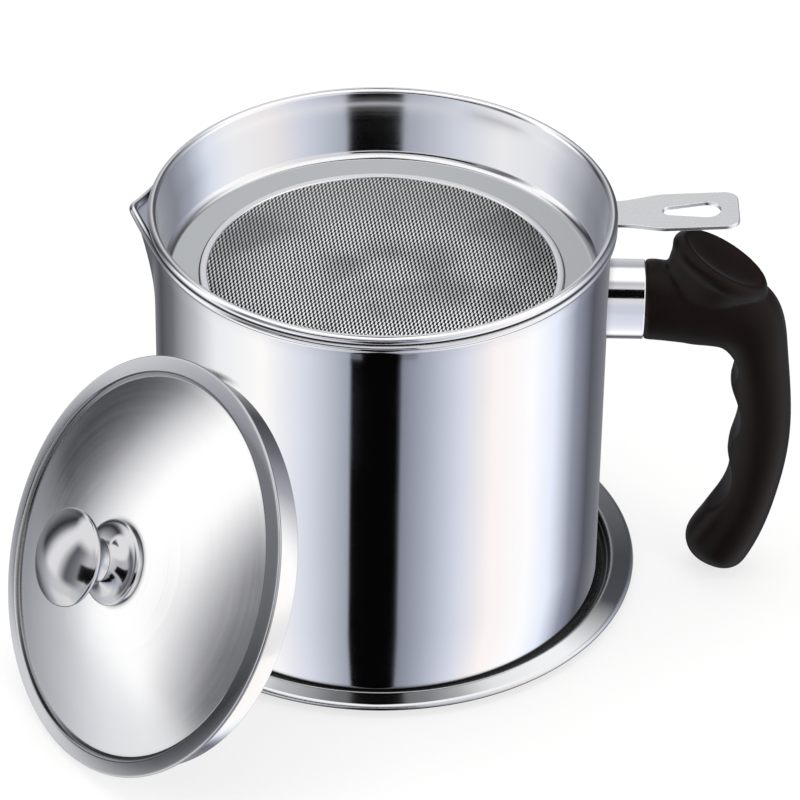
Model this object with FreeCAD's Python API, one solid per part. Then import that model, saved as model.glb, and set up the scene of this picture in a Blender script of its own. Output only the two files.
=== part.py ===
import FreeCAD, Part
import math
import os

os.makedirs("parts", exist_ok=True)

V = FreeCAD.Vector
Z_AXIS = V(0, 0, 1)
ORIGIN = V(0, 0, 0)

# Frame: millimetres, +Z up, origin on the pot's axis at the face the tray rests on.
# The handle points along +X and the spout along -X.

# ---- drip tray -------------------------------------------------------------------
tray_sheet = 0.8          # stamped steel sheet
tray_height = 4.0         # top of the flange above the table
tray_room = 1.6           # flat floor beyond the pot's wall
tray_slope = 3.6          # width of the wall between floor and flange
tray_flange = 6.0         # width of the flange with its rolled edge
tray_bead = 2.0           # diameter of the rolled edge

# ---- pot -------------------------------------------------------------------------
pot_r = 65.0              # outside of the wall
pot_wall = 0.6
pot_base = 0.8            # thickness of the bottom
pot_corner = 3.0          # outside radius between wall and bottom
pot_height = 119.4        # underside to the centre of the rolled rim
rim_bead = 2.4            # diameter of the rolled rim
rim_cover = 0.06          # the roll stands this far over the wall's inner face

# ---- pour spout ------------------------------------------------------------------
spout_length = 5.26       # the tip beyond the round rim, both on the roll's centreline
spout_nose = 4.2          # plan radius of the tip, on the same line
spout_rise = 2.0          # how far the tip lifts above the rim
spout_rise_run = 8.8      # the lift starts this far behind the tip
spout_depth = 30.0        # how far down the wall the throat reaches
spout_flare = 0.34        # share of the reach that is left half way down

# ---- strainer --------------------------------------------------------------------
strainer_bead = 2.6       # diameter of the strainer's rolled rim
seat_gap = 0.2            # rim of the strainer above the rim of the pot
collar_gap = 0.35         # collar inside the mouth of the pot
collar_sheet = 0.5
collar_taper = 0.9        # the collar's wall leans in this much down to the ledge
collar_depth = 20.6       # centre of the rolled rim down to the top of the ledge
collar_corner = 2.3       # inside radius between wall and ledge
ring_inset = 12.8         # outside of the mesh ring, inside the pot's wall
ring_lip = 2.1            # width of the mesh ring
ring_sheet = 0.5
mesh_thick = 0.6

# ---- lifting tab of the strainer --------------------------------------------------
tab_root_width = 12.4
tab_width = 18.0
tab_neck = 6.0            # the root stays narrow this far
tab_neck_width = 13.6
tab_flare = 15.5          # full width from here on
tab_length = 35.5
tab_thick = 1.2
tab_tilt = 3.5            # degrees, rising outwards
tab_corner = 4.0
slot_start = 16.1         # centre of the slot's narrow end, from the root
slot_inner_r = 2.2
slot_length = 10.3        # between the centres of its two ends
slot_outer_r = 3.9

# ---- handle ----------------------------------------------------------------------
handle_drop = 25.9        # centre of the ferrule below the pot's rolled rim
ferrule_high = 24.0
ferrule_wide = 18.0
ferrule_wall = 1.0
ferrule_length = 10.2     # out from the wall
oval_power = 2.25         # 2 is an ellipse, more is squarer
pad_high = 18.0           # weld pad of the bracket, inside the ferrule
pad_wide = 13.0
pad_thick = 1.6
stud_r = 4.6
stud_reach = 16.8         # the stud ends this far beyond the ferrule
stud_clearance = 0.1
screw_reach = 10.8        # the screw enters the grip from below, beyond the ferrule
screw_r = 2.0
screw_clearance = 0.3
screw_length = 12.5
screw_seat = 8.6          # depth of its seat below the handle's line
screw_head_r = 3.7
screw_head_high = 2.4
screw_slot = 1.1          # width of the cross recess
screw_slot_depth = 1.3
washer_r = 4.2
washer_thick = 0.8
counterbore_r = 4.6

# Sections of the moulded grip, from the ferrule to the lower end:
# distance beyond the ferrule, height as a share of the ferrule's own height,
# direction of travel in degrees, half depth in the handle's plane, half width across it.
grip_sections = (
    (0.0, 1.0, 0.0, ferrule_high / 2, ferrule_wide / 2),
    (5.8, 0.997, -2.0, 12.1, 9.2),
    (14.8, 0.987, -10.0, 12.3, 9.5),
    (24.4, 0.969, -26.0, 12.1, 9.8),
    (30.4, 0.926, -48.0, 10.8, 9.9),
    (33.5, 0.824, -78.0, 9.1, 9.7),
    (35.8, 0.652, -90.0, 8.65, 9.4),
    (36.0, 0.481, -93.0, 8.8, 9.3),
    (33.7, 0.299, -105.0, 8.6, 9.2),
    (29.7, 0.171, -112.0, 9.4, 9.2),
    (26.2, 0.096, -116.0, 9.9, 9.2),
)
grip_end_length = 8.0     # rounded end beyond the last section
grip_end_power = 2.5
grip_end_steps = (0.35, 0.62, 0.83, 0.95, 0.995)

# Thumb rest: a dished oval pad on top of the grip.
thumb_reach = 21.4        # its middle beyond the ferrule
thumb_up = 12.0           # and above the handle's line
thumb_tilt = 31.0         # degrees, falling outwards
thumb_long = 16.0         # half length, half width and half height
thumb_wide = 12.0
thumb_high = 5.8
root_long = 14.4          # the swelling that carries the pad
root_wide = 10.9
root_high = 13.0
dish_long = 15.0
dish_wide = 11.2
dish_high = 3.0
dish_up = 4.2             # centre of the hollow above the pad's own centre

# Finger grooves across the inner side: deepest point beyond the ferrule,
# height as a share of the ferrule's own height, and radius.
grooves = (
    (28.1, 0.770, 9.0),
    (29.8, 0.580, 17.0),
    (28.3, 0.364, 17.0),
)

# ---- lid -------------------------------------------------------------------------
lid_flange = 3.4          # the rolled edge beyond the skirt
lid_bead = 2.6
lid_sheet = 0.6
lid_step = 1.8            # the dome starts this far below the flange
dome_rise = 7.4           # top of the dome above the flange
skirt_stand = 3.4         # the skirt stands on the ledge this far outside the mesh ring
skirt_wall = 0.6
skirt_depth = 11.0        # flange down to the skirt's lower edge
dome_groove = 1.3         # width of the groove between flange and dome
knob_base_r = 12.1
knob_lip_high = 1.5       # upright edge of the foot
knob_neck_r = 6.3
knob_neck_high = 7.4      # joint between foot and cap above the lid
knob_stem_r = 6.9
knob_stem_high = 1.5
knob_cap_r = 13.75
knob_cap_z = 16.8         # widest line of the cap above the lid
knob_top_z = 22.4
knob_bore_r = 2.2
knob_screw_r = 2.0
knob_screw_depth = 7.0    # how far the screw enters the cap
knob_screw_head_r = 4.0
knob_screw_head_high = 2.2
knob_washer_r = 5.5
knob_washer_thick = 0.8

# ---- how the lid leans against the pot ---------------------------------------------
lean_slope = 62.0         # degrees between the lid and the table
lean_turn = 34.0          # degrees from -X towards -Y that the lid faces
lean_roll = 18.0          # degrees round the skirt from its highest point to the contact
lean_gap = 0.3            # between the skirt and the pot's wall

# ---- derived places ----------------------------------------------------------------
pot_z = tray_sheet
rim_z = pot_z + pot_height
rim_line_r = pot_r - pot_wall - rim_cover + rim_bead / 2
tray_floor_r = pot_r + tray_room
tray_well_r = tray_floor_r + tray_slope
tray_r = tray_well_r + tray_flange
spout_reach = rim_line_r + spout_length
spout_rise_start = spout_reach - spout_rise_run
ring_r = pot_r - ring_inset
ring_lip_r = ring_r - ring_lip
tab_neck_x = rim_line_r + tab_neck
tab_flare_x = rim_line_r + tab_flare
tab_end_x = rim_line_r + tab_length
slot_inner_x = rim_line_r + slot_start
slot_outer_x = slot_inner_x + slot_length
handle_z = pot_height - handle_drop
ferrule_end_x = pot_r + ferrule_length
stud_end_x = ferrule_end_x + stud_reach
screw_x = ferrule_end_x + screw_reach
thumb_x = ferrule_end_x + thumb_reach
skirt_r = ring_r + skirt_stand
lid_r = skirt_r + lid_flange
strainer_z = rim_z + rim_bead / 2 + seat_gap + strainer_bead / 2
ledge_z = strainer_z - collar_depth
hub_z = pot_z + handle_z
lid_step_r = skirt_r - skirt_wall - lid_sheet
dome_r = lid_step_r - dome_groove
crown_rise = dome_rise + lid_step
crown_r = (dome_r ** 2 + crown_rise ** 2) / (2 * crown_rise)


def radians(angle):
    return math.radians(angle)


def line(a, b):
    return Part.makeLine(a, b)


def arc(a, middle, b):
    return Part.Arc(a, middle, b).toShape()


def wire(*edges):
    return Part.Wire(list(edges))


def polygon(*points):
    return Part.makePolygon(list(points) + [points[0]])


def spin(profile):
    """Turn a closed profile in the XZ plane once round the Z axis."""
    return Part.Face(profile).revolve(ORIGIN, Z_AXIS, 360)


def ring(outer, inner, low, high):
    """Flat ring round the Z axis between two heights."""
    tube = Part.makeCylinder(outer, high - low, V(0, 0, low))
    return tube.cut(Part.makeCylinder(inner, high - low, V(0, 0, low)))


def bead(line_r, diameter, height):
    return Part.makeTorus(line_r, diameter / 2, V(0, 0, height), Z_AXIS)


def save(shape, name):
    if len(shape.Solids) == 1:
        shape = shape.Solids[0]
    shape.exportStep("parts/" + name + ".step")
    print(name, "solids", len(shape.Solids), "volume", round(shape.Volume), "valid", shape.isValid())


# ---- drip tray -------------------------------------------------------------------

def drip_tray():
    edge_r = tray_r - tray_bead / 2
    top = tray_height
    under = tray_height - tray_sheet
    slope = tray_well_r - tray_floor_r
    round_r = slope / 2
    floor_top = tray_sheet
    # The well's wall is an S of two small arcs between the floor and the flange.
    upper = arc(V(tray_well_r, 0, top), V(tray_well_r - round_r * 0.75, 0, top - round_r * 0.34),
                V(tray_floor_r + round_r, 0, (top + floor_top) / 2))
    lower = arc(V(tray_floor_r + round_r, 0, (top + floor_top) / 2),
                V(tray_floor_r + round_r * 0.75, 0, floor_top + round_r * 0.34),
                V(tray_floor_r, 0, floor_top))
    low_start = V(tray_floor_r + tray_sheet, 0, 0)
    low_end = V(tray_well_r + tray_sheet, 0, under)
    profile = wire(
        line(V(0, 0, 0), low_start),
        line(low_start, low_end),
        line(low_end, V(edge_r, 0, under)),
        line(V(edge_r, 0, under), V(edge_r, 0, top)),
        line(V(edge_r, 0, top), V(tray_well_r, 0, top)),
        upper,
        lower,
        line(V(tray_floor_r, 0, floor_top), V(0, 0, floor_top)),
        line(V(0, 0, floor_top), V(0, 0, 0)),
    )
    return spin(profile).fuse(bead(edge_r, tray_bead, top - tray_bead / 2))


# ---- pot -------------------------------------------------------------------------

def pot_body(radius, floor, corner, top):
    """Solid of revolution with a rounded lower corner."""
    bend = corner * (1 - math.sqrt(0.5))
    profile = wire(
        line(V(0, 0, floor), V(radius - corner, 0, floor)),
        arc(V(radius - corner, 0, floor), V(radius - bend, 0, floor + bend),
            V(radius, 0, floor + corner)),
        line(V(radius, 0, floor + corner), V(radius, 0, top)),
        line(V(radius, 0, top), V(0, 0, top)),
        line(V(0, 0, top), V(0, 0, floor)),
    )
    return spin(profile)


def spout_angle():
    """Angle from -X at which the spout's straight sides touch the round rim."""
    return math.acos((rim_line_r - spout_nose) / (spout_reach - spout_nose))


def spout_lift(x):
    """Height of the rim above its round part, x millimetres out from the axis."""
    run = spout_reach - spout_rise_start
    bow_r = (run ** 2 + spout_rise ** 2) / (2 * spout_rise)
    out = max(0.0, x - spout_rise_start)
    return bow_r - math.sqrt(bow_r ** 2 - out ** 2)


def spout_path():
    """Centreline of the rolled rim round the spout, from one side to the other."""
    turn = spout_angle()
    nose_x = spout_reach - spout_nose
    start = V(-rim_line_r * math.cos(turn), rim_line_r * math.sin(turn), 0)
    nose_start = V(-nose_x - spout_nose * math.cos(turn), spout_nose * math.sin(turn), 0)
    side = [start + (nose_start - start) * (k / 5) for k in range(6)]
    bend = [turn * (1 - k / 3) for k in range(1, 4)]
    nose = [V(-nose_x - spout_nose * math.cos(a), spout_nose * math.sin(a), 0) for a in bend]
    half = side + nose
    points = half + [V(p.x, -p.y, p.z) for p in reversed(half[:-1])]
    lifted = [V(p.x, p.y, rim_z + spout_lift(-p.x)) for p in points]
    along = V(-math.sin(turn), -math.cos(turn), 0)
    curve = Part.BSplineCurve()
    curve.interpolate(Points=lifted, InitialTangent=along, FinalTangent=V(-along.x, along.y, 0))
    return curve.toShape(), start, along


def rolled_rim():
    """The round part of the rolled rim, and the part that runs out over the spout."""
    path, start, along = spout_path()
    at = V(start.x, start.y, rim_z)
    section = wire(Part.makeCircle(rim_bead / 2, at, along))
    beak = wire(path).makePipeShell([section], True, False)
    turn = 2 * spout_angle()
    circle = wire(Part.makeCircle(rim_bead / 2, at, along))
    rest = Part.Face(circle).revolve(ORIGIN, V(0, 0, -1), 360 - math.degrees(turn))
    return rest, beak


def spout_wedge(offset, inset, height):
    """Plan of the spout at one height: two straight sides and a round nose."""
    turn = spout_angle()
    nose_r = spout_nose - offset
    nose_x = spout_reach - spout_nose - inset
    back = (rim_line_r - spout_nose) * math.tan(turn) * 0.96
    root_x = nose_x + nose_r * math.cos(turn) - back * math.sin(turn)
    root_y = nose_r * math.sin(turn) + back * math.cos(turn)
    left = V(-root_x, root_y, height)
    right = V(-root_x, -root_y, height)
    nose_left = V(-nose_x - nose_r * math.cos(turn), nose_r * math.sin(turn), height)
    nose_right = V(nose_left.x, -nose_left.y, height)
    tip = V(-nose_x - nose_r, 0, height)
    return wire(line(left, nose_left), arc(nose_left, tip, nose_right),
                line(nose_right, right), line(right, left))


def spout_solid(offset, top):
    """Wedge that grows out of the wall towards the rim, flaring as it rises."""
    gone = spout_reach - spout_nose - (rim_line_r - spout_nose) + offset * 0.1
    low = rim_z - spout_depth
    half = rim_z - spout_depth / 2
    sections = (
        spout_wedge(offset, gone + 0.6, low),
        spout_wedge(offset, gone * (1 - spout_flare), half),
        spout_wedge(offset, 0.0, rim_z),
    )
    flare = Part.makeLoft(list(sections), True, False)
    lip = Part.Face(spout_wedge(offset, 0.0, rim_z)).extrude(V(0, 0, top - rim_z))
    return flare.fuse(lip)


def above_rim(top):
    """Everything above the wall's upper edge, which bows up along the spout."""
    end = spout_reach + rim_bead
    middle_x = (spout_rise_start + end) / 2
    profile = wire(
        line(V(-spout_rise_start, 0, rim_z), V(0, 0, rim_z)),
        line(V(0, 0, rim_z), V(0, 0, top)),
        line(V(0, 0, top), V(-end, 0, top)),
        line(V(-end, 0, top), V(-end, 0, rim_z + spout_lift(end))),
        arc(V(-end, 0, rim_z + spout_lift(end)), V(-middle_x, 0, rim_z + spout_lift(middle_x)),
            V(-spout_rise_start, 0, rim_z)),
    )
    return Part.Face(profile).extrude(V(0, 4 * pot_r, 0)).translated(V(0, -2 * pot_r, 0))


def pot_shell():
    over = rim_z + 3 * rim_bead
    wall_offset = rim_line_r - pot_r
    outside = pot_body(pot_r, pot_z, pot_corner, rim_z)
    beak = spout_solid(wall_offset, over).cut(above_rim(over + 1))
    inside = pot_body(pot_r - pot_wall, pot_z + pot_base, pot_corner - pot_wall, over + 1)
    channel = spout_solid(wall_offset + pot_wall, over + 1)
    shell = outside.fuse(beak).cut(inside).cut(channel)
    rim_round, rim_spout = rolled_rim()
    return shell.fuse(rim_round).fuse(rim_spout).removeSplitter()


# ---- strainer --------------------------------------------------------------------

def strainer_collar():
    line_r = rim_line_r
    top_r = pot_r - pot_wall - collar_gap
    low_r = top_r - collar_taper
    sheet = collar_sheet
    inner_corner = collar_corner
    outer_corner = collar_corner + sheet
    low = ledge_z - sheet
    bend = 1 - math.sqrt(0.5)
    wall_in = V(low_r - sheet, 0, ledge_z + inner_corner)
    floor_in = V(low_r - sheet - inner_corner, 0, ledge_z)
    wall_out = V(low_r, 0, low + outer_corner)
    floor_out = V(low_r - outer_corner, 0, low)
    neck_low = strainer_z - strainer_bead
    lip_in = V(line_r - strainer_bead / 2 + sheet * 0.2, 0, strainer_z)
    lip_out = V(lip_in.x + sheet, 0, strainer_z)
    profile = wire(
        line(V(top_r, 0, neck_low), lip_out),
        line(lip_out, lip_in),
        line(lip_in, V(top_r - sheet, 0, neck_low)),
        line(V(top_r - sheet, 0, neck_low), wall_in),
        arc(wall_in, V(wall_in.x - inner_corner * bend, 0, ledge_z + inner_corner * bend), floor_in),
        line(floor_in, V(ring_r, 0, ledge_z)),
        line(V(ring_r, 0, ledge_z), V(ring_r, 0, low)),
        line(V(ring_r, 0, low), floor_out),
        arc(floor_out, V(wall_out.x - outer_corner * bend, 0, low + outer_corner * bend), wall_out),
        line(wall_out, V(top_r, 0, neck_low)),
    )
    return spin(profile).fuse(bead(line_r, strainer_bead, strainer_z))


def mesh_retaining_ring():
    """Channel open towards the middle, closed on the edge of the mesh."""
    low = ledge_z - mesh_thick - ring_sheet
    high = ledge_z + ring_sheet
    body = ring(ring_r, ring_lip_r, low, high)
    return body.cut(ring(ring_r - ring_sheet, ring_lip_r - 1, ledge_z - mesh_thick, ledge_z))


def strainer_mesh():
    return Part.makeCylinder(ring_r - ring_sheet, mesh_thick, V(0, 0, ledge_z - mesh_thick))


def tab_slot():
    """Teardrop outline round two circles, small at the root and large at the end."""
    run = slot_outer_x - slot_inner_x
    lean = math.asin((slot_outer_r - slot_inner_r) / run)
    up = V(-math.sin(lean), math.cos(lean), 0)
    down = V(up.x, -up.y, 0)
    small = V(slot_inner_x, 0, 0)
    large = V(slot_outer_x, 0, 0)
    a = small + up * slot_inner_r
    b = large + up * slot_outer_r
    c = large + down * slot_outer_r
    d = small + down * slot_inner_r
    return wire(line(a, b), arc(b, large + V(slot_outer_r, 0, 0), c),
                line(c, d), arc(d, small - V(slot_inner_r, 0, 0), a))


def strainer_tab():
    root_x = rim_line_r
    half_root = tab_root_width / 2
    half = tab_width / 2
    corner = tab_corner * (1 - math.sqrt(0.5))
    end = tab_end_x
    side = [V(root_x, half_root, 0), V(tab_neck_x, tab_neck_width / 2, 0), V(tab_flare_x, half, 0)]
    upper = Part.BSplineCurve()
    upper.interpolate(Points=side, InitialTangent=V(1, 0, 0), FinalTangent=V(1, 0, 0))
    lower = Part.BSplineCurve()
    lower.interpolate(Points=[V(p.x, -p.y, 0) for p in reversed(side)],
                      InitialTangent=V(-1, 0, 0), FinalTangent=V(-1, 0, 0))
    outline = wire(
        upper.toShape(),
        line(V(tab_flare_x, half, 0), V(end - tab_corner, half, 0)),
        arc(V(end - tab_corner, half, 0), V(end - corner, half - corner, 0),
            V(end, half - tab_corner, 0)),
        line(V(end, half - tab_corner, 0), V(end, tab_corner - half, 0)),
        arc(V(end, tab_corner - half, 0), V(end - corner, corner - half, 0),
            V(end - tab_corner, -half, 0)),
        line(V(end - tab_corner, -half, 0), V(tab_flare_x, -half, 0)),
        lower.toShape(),
        line(V(root_x, -half_root, 0), V(root_x, half_root, 0)),
    )
    plate = Part.Face(outline).extrude(V(0, 0, tab_thick))
    slot = Part.Face(tab_slot()).extrude(V(0, 0, 3 * tab_thick)).translated(V(0, 0, -tab_thick))
    plate = plate.cut(slot).translated(V(0, 0, strainer_z - tab_thick / 2))
    plate.rotate(V(root_x, 0, strainer_z), V(0, 1, 0), -tab_tilt)
    plate = plate.cut(bead(root_x, strainer_bead, strainer_z))
    plate = plate.cut(Part.makeCylinder(root_x, 4 * tab_thick, V(0, 0, strainer_z - 2 * tab_thick)))
    return plate


# ---- handle ----------------------------------------------------------------------

def oval(centre, deep, half_deep, half_wide):
    """Closed squarish oval, half_deep along the given direction and half_wide along Y."""
    points = []
    for step in range(16):
        angle = radians(22.5 * step)
        c = math.cos(angle)
        s = math.sin(angle)
        reach = (abs(c) ** oval_power + abs(s) ** oval_power) ** (-1 / oval_power)
        points.append(centre + deep * (half_deep * reach * c) + V(0, half_wide * reach * s, 0))
    curve = Part.BSplineCurve()
    curve.interpolate(Points=points, PeriodicFlag=True)
    return wire(curve.toShape())


def oval_bar(high, wide, start_x, end_x):
    """Bar along X with an oval section, centred on the handle's line."""
    section = oval(V(start_x, 0, hub_z), Z_AXIS, high / 2, wide / 2)
    return Part.Face(section).extrude(V(end_x - start_x, 0, 0))


def rod(radius, start_x, end_x):
    return Part.makeCylinder(radius, end_x - start_x, V(start_x, 0, hub_z), V(1, 0, 0))


def post(radius, low, high):
    """Upright cylinder on the line of the handle's screw."""
    return Part.makeCylinder(radius, high - low, V(screw_x, 0, low))


def pot_cylinder(radius):
    return Part.makeCylinder(radius, pot_height, V(0, 0, pot_z))


def handle_ferrule():
    wall = 2 * ferrule_wall
    start_x = pot_r - ferrule_wide / 2
    sleeve = oval_bar(ferrule_high, ferrule_wide, start_x, ferrule_end_x)
    hollow = oval_bar(ferrule_high - wall, ferrule_wide - wall, start_x, ferrule_end_x)
    return sleeve.cut(hollow).cut(pot_cylinder(pot_r))


def handle_bracket():
    """Curved pad welded to the wall, with a stud that enters the grip."""
    start_x = pot_r - ferrule_wide / 2
    pad = oval_bar(pad_high, pad_wide, start_x, pot_r + pad_thick)
    pad = pad.common(pot_cylinder(pot_r + pad_thick)).cut(pot_cylinder(pot_r))
    stud = rod(stud_r, pot_r + pad_thick / 2, stud_end_x)
    stud = stud.makeChamfer(stud_r / 5, [stud.Edges[0]])
    return pad.fuse(stud).cut(post(screw_r, hub_z - 2 * stud_r, hub_z + 2 * stud_r))


def handle_screw():
    under_head = hub_z - screw_seat - washer_thick
    low = under_head - screw_head_high
    shank = post(screw_r, under_head, under_head + screw_length)
    head = post(screw_head_r, low, under_head)
    long = 1.3 * screw_head_r
    for deep, wide in ((screw_slot, long), (long, screw_slot)):
        corner = V(screw_x - deep / 2, -wide / 2, low)
        head = head.cut(Part.makeBox(deep, wide, screw_slot_depth, corner))
    return shank.fuse(head)


def handle_washer():
    seat = hub_z - screw_seat
    return post(washer_r, seat - washer_thick, seat).cut(post(screw_r, seat - washer_thick, seat))


def grip_body():
    sections = []
    for reach, share, heading, half_deep, half_wide in grip_sections:
        centre = V(ferrule_end_x + reach, 0, pot_z + handle_z * share)
        deep = V(-math.sin(radians(heading)), 0, math.cos(radians(heading)))
        sections.append(oval(centre, deep, half_deep, half_wide))
    travel = V(math.cos(radians(heading)), 0, math.sin(radians(heading)))
    for step in grip_end_steps:
        size = (1 - step ** grip_end_power) ** (1 / grip_end_power)
        at = centre + travel * (grip_end_length * step)
        sections.append(oval(at, deep, half_deep * size, half_wide * size))
    return Part.makeLoft(sections, True, False)


def oval_ball(long, wide, high):
    """Ellipsoid at the origin with its half sizes along X, Y and Z."""
    stretch = FreeCAD.Matrix()
    stretch.scale(long, wide, high)
    return Part.makeSphere(1.0).transformGeometry(stretch)


def on_thumb_rest(shape):
    """Move a shape from the thumb rest's own frame to its place on the grip."""
    placed = shape.copy()
    placed.rotate(ORIGIN, V(0, 1, 0), thumb_tilt)
    return placed.translated(V(thumb_x, 0, hub_z + thumb_up))


def thumb_rest():
    """Oval pad with a swelling below it that runs into the arm."""
    pad = oval_ball(thumb_long, thumb_wide, thumb_high)
    upper = Part.makeBox(4 * root_long, 4 * root_wide, 2 * root_high, V(-2 * root_long, -2 * root_wide, 0))
    root = oval_ball(root_long, root_wide, root_high).cut(upper)
    return on_thumb_rest(pad.fuse(root))


def handle_grip():
    dish = oval_ball(dish_long, dish_wide, dish_high).translated(V(0, 0, dish_up))
    grip = grip_body().fuse(thumb_rest()).cut(on_thumb_rest(dish))
    for reach, share, radius in grooves:
        x = ferrule_end_x + reach
        start = V(x - radius, -2 * ferrule_wide, pot_z + handle_z * share)
        grip = grip.cut(Part.makeCylinder(radius, 4 * ferrule_wide, start, V(0, 1, 0)))
    seat = hub_z - screw_seat
    grip = grip.cut(rod(stud_r + stud_clearance, pot_r, stud_end_x + stud_clearance))
    grip = grip.cut(post(screw_r + screw_clearance, seat, hub_z + screw_length))
    return grip.cut(post(counterbore_r, seat - ferrule_high, seat))


# ---- lid -------------------------------------------------------------------------

def lean():
    """Placement that stands the lid on the table and rests its skirt on the pot."""
    slope = radians(lean_slope)
    turn = radians(lean_turn)
    roll = radians(lean_roll)
    facing = V(-math.cos(turn), -math.sin(turn), 0)
    side = V(math.sin(turn), -math.cos(turn), 0)
    normal = facing * math.sin(slope) + Z_AXIS * math.cos(slope)
    uphill = Z_AXIS * math.sin(slope) - facing * math.cos(slope)
    touch = facing * math.cos(roll) + side * (math.sin(roll) * math.cos(slope))
    touch = touch * ((pot_r + lean_gap) / touch.Length)
    centre = touch
    centre = centre + facing * (skirt_r * math.cos(roll) * math.cos(slope))
    centre = centre + side * (skirt_r * math.sin(roll))
    centre = centre + facing * (skirt_depth * math.sin(slope))
    centre.z = skirt_r * math.sin(slope) + skirt_depth * math.cos(slope)
    matrix = FreeCAD.Matrix(
        side.x, uphill.x, normal.x, centre.x,
        side.y, uphill.y, normal.y, centre.y,
        side.z, uphill.z, normal.z, centre.z,
        0, 0, 0, 1)
    return FreeCAD.Placement(matrix)


def leaning(shape):
    placed = shape.copy()
    placed.Placement = lean().multiply(placed.Placement)
    return placed


def dome_arc(radius, edge_z, top_z):
    """Arc in the XZ plane from the dome's edge to its top on the axis."""
    rise = top_z - edge_z
    ball_r = (radius ** 2 + rise ** 2) / (2 * rise)
    half = math.asin(radius / ball_r) / 2
    middle = V(ball_r * math.sin(half), 0, top_z - ball_r * (1 - math.cos(half)))
    return arc(V(radius, 0, edge_z), middle, V(0, 0, top_z))


def lid_shell():
    sheet = lid_sheet
    edge_r = lid_r - lid_bead / 2
    groove_z = -lid_step
    under_r = math.sqrt((crown_r - sheet) ** 2 - (crown_r - crown_rise - sheet) ** 2)
    profile = wire(
        dome_arc(dome_r, groove_z, dome_rise),
        line(V(0, 0, dome_rise), V(0, 0, dome_rise - sheet)),
        dome_arc(under_r, groove_z - sheet, dome_rise - sheet),
        line(V(under_r, 0, groove_z - sheet), V(lid_step_r + sheet, 0, groove_z - sheet)),
        line(V(lid_step_r + sheet, 0, groove_z - sheet), V(lid_step_r + sheet, 0, -sheet)),
        line(V(lid_step_r + sheet, 0, -sheet), V(edge_r, 0, -sheet)),
        line(V(edge_r, 0, -sheet), V(edge_r, 0, 0)),
        line(V(edge_r, 0, 0), V(lid_step_r, 0, 0)),
        line(V(lid_step_r, 0, 0), V(lid_step_r, 0, groove_z)),
        line(V(lid_step_r, 0, groove_z), V(dome_r, 0, groove_z)),
    )
    shell = spin(profile).fuse(bead(edge_r, lid_bead, -lid_bead / 2 + lid_sheet / 2))
    return shell.cut(Part.makeCylinder(knob_bore_r, 4 * dome_rise, V(0, 0, -dome_rise)))


def lid_skirt():
    return ring(skirt_r, skirt_r - skirt_wall, -skirt_depth, -lid_sheet)


def knob_base():
    """Flared foot of the knob, up to the ring line at its neck."""
    low = dome_rise
    lip_z = low + knob_lip_high
    neck_z = low + knob_neck_high
    lip_r = knob_base_r - 0.5
    profile = wire(
        line(V(0, 0, low - 1), V(knob_base_r, 0, low - 1)),
        line(V(knob_base_r, 0, low - 1), V(knob_base_r, 0, lip_z)),
        line(V(knob_base_r, 0, lip_z), V(lip_r, 0, lip_z + 0.5)),
        arc(V(lip_r, 0, lip_z + 0.5), V(knob_neck_r + 1.9, 0, low + knob_neck_high / 2),
            V(knob_neck_r, 0, neck_z)),
        line(V(knob_neck_r, 0, neck_z), V(0, 0, neck_z)),
        line(V(0, 0, neck_z), V(0, 0, low - 1)),
    )
    # The foot is hollowed to stand flat on the crowned lid.
    crown = Part.makeSphere(crown_r, V(0, 0, dome_rise - crown_r))
    bore = Part.makeCylinder(knob_bore_r, 2 * knob_neck_high, V(0, 0, low - 1))
    return spin(profile).cut(crown).cut(bore)


def knob_cap():
    low = dome_rise
    neck_z = low + knob_neck_high
    stem_z = neck_z + knob_stem_high
    wide_z = low + knob_cap_z
    top_z = low + knob_top_z
    under_r = knob_cap_r - 1.0
    edge_r = knob_cap_r - 0.7
    profile = wire(
        line(V(0, 0, neck_z), V(knob_stem_r, 0, neck_z)),
        line(V(knob_stem_r, 0, neck_z), V(knob_stem_r, 0, stem_z)),
        arc(V(knob_stem_r, 0, stem_z), V(knob_stem_r + 1.7, 0, (stem_z + wide_z) / 2),
            V(under_r, 0, wide_z - 1.2)),
        arc(V(under_r, 0, wide_z - 1.2), V(knob_cap_r, 0, wide_z), V(edge_r, 0, wide_z + 1.0)),
        dome_arc(edge_r, wide_z + 1.0, top_z),
        line(V(0, 0, top_z), V(0, 0, neck_z)),
    )
    return spin(profile).cut(Part.makeCylinder(knob_screw_r, knob_screw_depth, V(0, 0, neck_z)))


def knob_washer_top():
    """The washer's rim touches the underside of the dome."""
    inner_r = crown_r - lid_sheet
    return dome_rise - crown_r + math.sqrt(inner_r ** 2 - knob_washer_r ** 2)


def knob_washer():
    top = knob_washer_top()
    return ring(knob_washer_r, knob_bore_r, top - knob_washer_thick, top)


def knob_screw():
    seat = knob_washer_top() - knob_washer_thick
    neck_z = dome_rise + knob_neck_high
    shank = Part.makeCylinder(knob_screw_r, neck_z + knob_screw_depth - seat, V(0, 0, seat))
    head = Part.makeCylinder(knob_screw_head_r, knob_screw_head_high, V(0, 0, seat - knob_screw_head_high))
    long = 1.3 * knob_screw_head_r
    low = seat - knob_screw_head_high
    for wide, deep in ((screw_slot, long), (long, screw_slot)):
        head = head.cut(Part.makeBox(wide, deep, screw_slot_depth / 2, V(-wide / 2, -deep / 2, low)))
    return shank.fuse(head)


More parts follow.
